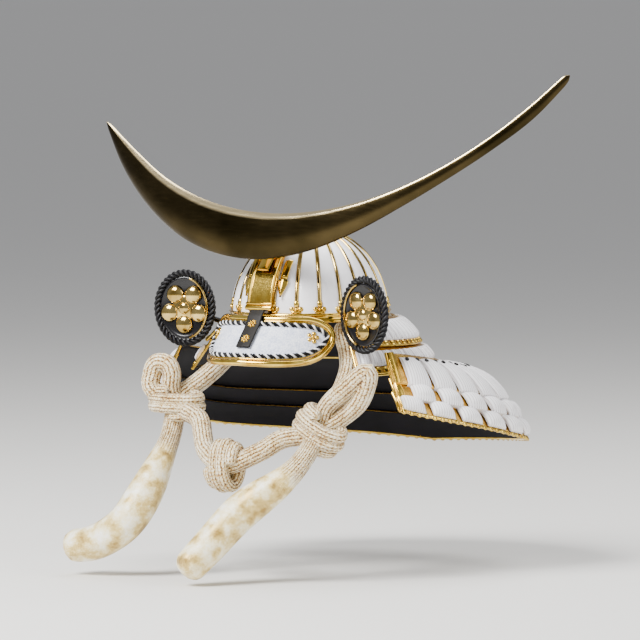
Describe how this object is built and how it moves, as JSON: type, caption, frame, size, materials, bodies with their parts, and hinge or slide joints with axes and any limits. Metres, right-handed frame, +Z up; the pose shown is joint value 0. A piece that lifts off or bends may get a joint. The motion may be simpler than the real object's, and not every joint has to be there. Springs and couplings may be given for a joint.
{
  "type": "samurai helmet",
  "caption": "Display kabuto helmet: ribbed white bowl, crescent crest, visor, laced neck guard, crested side plates and a knotted brocade chin cord.",
  "frame": {"origin": "the top of the hollow inside the bowl, where the head or head stand that carries the helmet touches it", "axes": "+X towards the wearer's left hand, -Y forwards in the wearer's line of sight, +Z up"},
  "size_m": [0.3098, 0.2771, 0.2962],
  "materials": {
    "gold_plate": "polished gold plate",
    "crescent_bronze": "dark polished bronze",
    "bowl_white": "white lacquer, satin",
    "lacing_white": "white braided lacing, matt",
    "visor_leather": "white printed leather, matt",
    "black_lacquer": "black lacquer, gloss",
    "black_braid": "black silk braid, satin",
    "cord_brocade": "cream and gold brocade, satin"
  },
  "bodies": {
    "root": {"bowl": "bowl_white", "bowl_ribs": "gold_plate", "waist_band": "gold_plate", "crown_rosette": "gold_plate", "crest_holder": "gold_plate", "front_tongue_right": "gold_plate", "front_tongue_left": "gold_plate", "crest_prong": "gold_plate", "visor_rim": "gold_plate", "strap_rosette_upper": "gold_plate", "strap_rosette_lower": "gold_plate", "visor_blossom_right": "gold_plate", "visor_blossom_left": "gold_plate", "crescent_crest": "crescent_bronze", "visor": "visor_leather", "visor_piping": "black_braid", "visor_strap": "black_braid", "neck_plate_1": "gold_plate", "neck_lacing_1": "lacing_white", "neck_plate_2": "gold_plate", "neck_lacing_2": "lacing_white", "neck_plate_3": "gold_plate", "neck_lacing_3": "lacing_white", "neck_plate_4": "gold_plate", "neck_lacing_4": "lacing_white", "neck_plate_5": "gold_plate", "neck_lacing_5": "lacing_white", "turnback_plate_right": "black_lacquer", "turnback_bracket_right": "black_lacquer", "turnback_braid_right": "black_braid", "turnback_crest_right": "gold_plate", "cord_ring_right": "gold_plate", "turnback_plate_left": "black_lacquer", "turnback_bracket_left": "black_lacquer", "turnback_braid_left": "black_braid", "turnback_crest_left": "gold_plate", "cord_ring_left": "gold_plate", "cord_right_strand": "cord_brocade", "cord_left_strand": "cord_brocade", "cord_right_loop": "cord_brocade", "cord_left_loop": "cord_brocade", "cord_right_middle": "cord_brocade", "cord_left_middle": "cord_brocade", "cord_right_tail": "cord_brocade", "cord_left_tail": "cord_brocade", "cord_knot_right": "cord_brocade", "cord_knot_left": "cord_brocade", "cord_knot_centre": "cord_brocade"}
  },
  "joints": []
}
